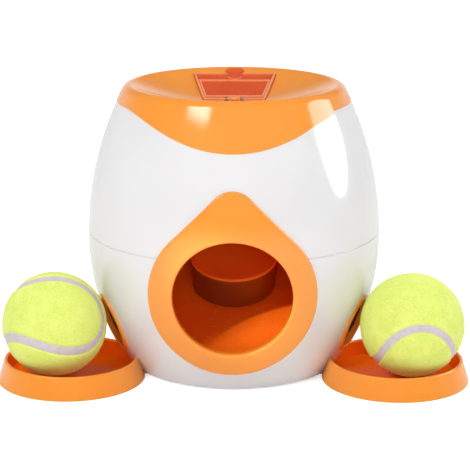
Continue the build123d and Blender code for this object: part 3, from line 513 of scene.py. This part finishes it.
def paint_nodes():
    for material, names in NODE_MATERIALS.items():
        for name in names:
            for entry in nodes[name].material_slots:
                entry.material = material


# ---- objects ----
def link_object(name, data):
    obj = bpy.data.objects.new(name, data)
    bpy.context.scene.collection.objects.link(obj)
    return obj


def mesh_object(name, mesh, material, smooth=True):
    for polygon in mesh.polygons:
        polygon.use_smooth = smooth
    mesh.materials.append(material)
    return link_object(name, mesh)


def add_mesh(name, points, faces, material, smooth=True):
    mesh = bpy.data.meshes.new(name)
    mesh.from_pydata([tuple(p) for p in points], [], faces)
    mesh.update()
    return mesh_object(name, mesh, material, smooth)


# ---- tennis balls ----
def seam_point(t, a):
    """Point of the ball's seam on a sphere of radius 1."""
    b = 1.0 - a
    point = Vector((
        a * math.cos(t) + b * math.cos(3 * t),
        a * math.sin(t) - b * math.sin(3 * t),
        2 * math.sqrt(a * b) * math.sin(2 * t),
    ))
    return point.normalized()


def seam_ring(side):
    """Directions from the ball's centre to the middle of its seam."""
    spin = Euler([math.radians(v) for v in SEAM_TURNS[side]], "XYZ").to_matrix()
    shape = SEAM_SHAPES[side]
    return [spin @ seam_point(2 * math.pi * i / SEAM_POINTS, shape) for i in range(SEAM_POINTS)]


def seam_finder(ring):
    """Tree that gives a direction's distance from the seam."""
    tree = KDTree(len(ring))
    for index, point in enumerate(ring):
        tree.insert(point, index)
    tree.balance()
    return tree


def smooth_step(low, high, value):
    t = min(1.0, max(0.0, (value - low) / (high - low)))
    return t * t * (3 - 2 * t)


def felt_shell(name, centre, tree, half):
    """Sphere with a groove for the seam and padded edges beside it."""
    bm = bmesh.new()
    bmesh.ops.create_icosphere(bm, subdivisions=FELT_SUBDIVISIONS, radius=1.0)
    for vert in bm.verts:
        direction = vert.co.normalized()
        gap = tree.find(direction)[2]
        inside = 1.0 - smooth_step(half * GROOVE_INNER, half * GROOVE_OUTER, gap)
        pad = math.exp(-((gap - half * PAD_PLACE) / (half * PAD_SPREAD)) ** 2) * PAD_HEIGHT
        clump = sum(noise.noise(direction * scale) * height for scale, height in FELT_CLUMPS)
        radius = FELT_R - inside * GROOVE_DEPTH + pad + clump * (1 - inside)
        vert.co = direction * radius
    mesh = bpy.data.meshes.new(name)
    bm.to_mesh(mesh)
    bm.free()
    mesh.transform(Matrix.Translation(centre))
    return mesh_object(name, mesh, FELT)


def seam_strip(name, centre, ring, half):
    """Shallow rounded strip that lies in the groove."""
    fineness, waviness = SEAM_WAVES
    points = []
    for index, here in enumerate(ring):
        along = (ring[(index + 1) % SEAM_POINTS] - ring[index - 1]).normalized()
        sideways = here.cross(along).normalized()
        for step in range(SEAM_ACROSS):
            u = step / (SEAM_ACROSS - 1) * 2 - 1
            lift = math.sqrt(max(0.0, 1 - (u * SEAM_ROUNDING) ** 2))
            radius = FELT_R - GROOVE_DEPTH * SEAM_BED + lift * GROOVE_DEPTH * SEAM_CROWN
            radius += noise.noise((here + sideways * u * SEAM_WAVE_TURN) * fineness) * waviness
            direction = (here + sideways * (u * half * SEAM_OVERLAP)).normalized()
            points.append(centre + direction * radius)
    faces = []
    for index in range(SEAM_POINTS):
        following = (index + 1) % SEAM_POINTS
        for step in range(SEAM_ACROSS - 1):
            faces.append((
                index * SEAM_ACROSS + step,
                following * SEAM_ACROSS + step,
                following * SEAM_ACROSS + step + 1,
                index * SEAM_ACROSS + step + 1,
            ))
    return add_mesh(name, points, faces, SEAM)


def random_vector(rng):
    return Vector((rng.gauss(0, 1), rng.gauss(0, 1), rng.gauss(0, 1)))


def nap_fibres(name, centre, tree, half, rng):
    """Bent fibres that lie mostly flat on the felt."""
    points = []
    faces = []
    while len(faces) < FUZZ_COUNT * FUZZ_FACES:
        direction = random_vector(rng).normalized()
        if tree.find(direction)[2] < half * GROOVE_OUTER:
            continue
        tangent = direction.cross(random_vector(rng)).normalized()
        length = rng.uniform(*FUZZ_LENGTH)
        rise = rng.uniform(*FUZZ_RISE)
        root = centre + direction * (FELT_R - FUZZ_ROOT_DEPTH)
        middle = root + tangent * length * 0.5 + direction * length * rise
        tip = root + tangent * length * rng.uniform(*FUZZ_REACH)
        tip += direction * length * rise * rng.uniform(*FUZZ_DROOP)
        width = direction.cross(tangent) * FUZZ_WIDTH
        taper = width * FUZZ_TAPER
        base = len(points)
        points += [root - width, root + width, middle + taper, middle - taper, tip]
        faces += [(base, base + 1, base + 2, base + 3), (base + 3, base + 2, base + 4)]
    return add_mesh(name, points, faces, FELT, smooth=False)


def build_balls():
    for side in ("left", "right"):
        low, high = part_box(f"{side}_ball_felt")
        centre = (Vector(low) + Vector(high)) / 2
        half = SEAM_WIDTHS[side] / 2 / BALL_R
        ring = seam_ring(side)
        tree = seam_finder(ring)
        rng = random.Random(SEED + len(side))
        felt_obj = felt_shell(f"{side}_ball_felt_shell", centre, tree, half)
        seam_obj = seam_strip(f"{side}_ball_seam", centre, ring, half)
        nap_obj = nap_fibres(f"{side}_ball_nap", centre, tree, half, rng)
        for piece in (felt_obj, seam_obj, nap_obj):
            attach(piece, f"{side}_ball")
        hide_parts(f"{side}_ball_felt")


# ---- stage: camera, floor, light ----
def build_camera():
    yaw = math.radians(CAMERA_YAW)
    data = bpy.data.cameras.new("camera")
    data.sensor_width = SENSOR_MM
    data.lens = FOCAL_PX / FRAME_PX * SENSOR_MM
    data.shift_x = AXIS_LEFT_PX / FRAME_PX
    data.clip_end = CAMERA_CLIP_END
    camera = link_object("camera", data)
    camera.location = (
        CAMERA_REACH * math.sin(yaw), -CAMERA_REACH * math.cos(yaw), CAMERA_HEIGHT)
    camera.rotation_euler = (math.radians(90 - CAMERA_PITCH), 0.0, yaw)
    bpy.context.scene.camera = camera


def seen_directly(path):
    """Factors of a ray that the camera sees and of one that passes a clear piece."""
    return path["Is Camera Ray"], path["Is Transmission Ray"]


def build_floor():
    s = Shader("pale_floor")
    path = s.add("ShaderNodeLightPath").outputs
    glow = s.math("MULTIPLY", path["Is Glossy Ray"], FLOOR_MIRROR_GLOW)
    s.set(
        Base_Color=s.tint(s.noise(40.0), (0.88, 0.88, 0.88), (0.90, 0.90, 0.90)),
        Roughness=0.9,
        Specular_IOR_Level=0.0,
        Emission_Color=(1.0, 1.0, 1.0),
        Emission_Strength=s.blend(s.math("MAXIMUM", *seen_directly(path)), glow, FLOOR_GLOW),
    )
    corners = [(x * FLOOR_SIZE, y * FLOOR_SIZE, 0) for x, y in ((-1, -1), (1, -1), (1, 1), (-1, 1))]
    floor = add_mesh("floor", corners, [(0, 1, 2, 3)], s.material, smooth=False)


def glint(g, rightwards, backwards, height):
    """Strength of the soft-edged patch behind the highlight on the cap."""
    across = g.math(
        "ADD",
        g.math("MULTIPLY", rightwards, GLINT_ACROSS[0]),
        g.math("MULTIPLY", backwards, GLINT_ACROSS[1]))
    patch = g.fade(g.math("ABSOLUTE", across), GLINT_STRENGTH, 0.0, GLINT_SIDE_SPAN)
    for limit in (
        g.fade(height, 0.0, 1.0, GLINT_BOTTOM_SPAN),
        g.fade(height, 1.0, 0.0, GLINT_TOP_SPAN),
        g.fade(backwards, 1.0, 0.0, GLINT_FRONT_SPAN),
    ):
        patch = g.math("MULTIPLY", patch, limit)
    return patch


def build_world():
    """White where it is seen. Its light is dim in front, brighter at the sides and above."""
    world = bpy.data.worlds.new("studio")
    bpy.context.scene.world = world
    world.use_nodes = True
    g = Graph(world.node_tree)
    path = g.add("ShaderNodeLightPath").outputs
    split = g.add("ShaderNodeSeparateXYZ")
    g.link(g.add("ShaderNodeTexCoord").outputs["Generated"], split.inputs["Vector"])
    rightwards, backwards, height = (split.outputs[axis] for axis in "XYZ")

    front = g.fade(height, SKY_FRONT_LOW, SKY_FRONT_HIGH, SKY_FRONT_SPAN)
    sides = g.fade(rightwards, SKY_LEFT, SKY_RIGHT, SKY_SIDES_SPAN)
    light = g.blend(g.fade(backwards, 0.0, 1.0, SKY_ASIDE_SPAN), front, sides)
    light = g.math("ADD", light, g.fade(height, 0.0, SKY_OVERHEAD, SKY_OVERHEAD_SPAN))

    front = g.fade(height, MIRROR_FRONT, MIRROR_UP, MIRROR_FRONT_SPAN)
    back = g.fade(height, MIRROR_WHITE, MIRROR_BACK, MIRROR_BACK_SPAN)
    mirrored = g.blend(g.fade(backwards, 0.0, 1.0, MIRROR_BEHIND_SPAN), front, back)
    mirrored = g.math("ADD", mirrored, glint(g, rightwards, backwards, height))

    strength = g.blend(path["Is Glossy Ray"], light, mirrored)
    strength = g.blend(g.math("MAXIMUM", *seen_directly(path)), strength, 1.0)
    background = world.node_tree.nodes["Background"]
    g.feed(background.inputs["Strength"], strength)
    g.feed(background.inputs["Color"], (1.0, 1.0, 1.0))


def hang_lamp(data, place, target, roll=0.0):
    lamp = link_object(data.name, data)
    lamp.location = place
    aim = (Vector(target) - Vector(place)).to_track_quat("-Z", "Y")
    lamp.rotation_euler = (aim @ Quaternion((0.0, 0.0, 1.0), math.radians(roll))).to_euler()
    return lamp


def mouth_spot(place, target, power, angle, blend, radius):
    """A lamp with a snoot, for the light inside the mouth."""
    data = bpy.data.lights.new("spot_mouth", "SPOT")
    data.energy = power
    data.spot_size = math.radians(angle)
    data.spot_blend = blend
    data.shadow_soft_size = radius
    hang_lamp(data, place, target).visible_glossy = False


def area_lamp(name, place, target, size, shape, power, roll=0.0, only_mirrored=False):
    """A lamp that lights the object unseen, or one that only shows in reflections."""
    data = bpy.data.lights.new(name, "AREA")
    data.shape = shape
    data.size, data.size_y = size
    data.energy = power
    lamp = hang_lamp(data, place, target, roll)
    lamp.visible_diffuse = not only_mirrored
    lamp.visible_glossy = only_mirrored


def build_lights():
    mouth_spot(**MOUTH_SPOT)
    for name, values in AREA_LAMPS.items():
        area_lamp(name, **values)


bpy.context.scene.view_settings.view_transform = "Standard"
paint_nodes()
build_balls()
build_camera()
build_floor()
build_world()
build_lights()
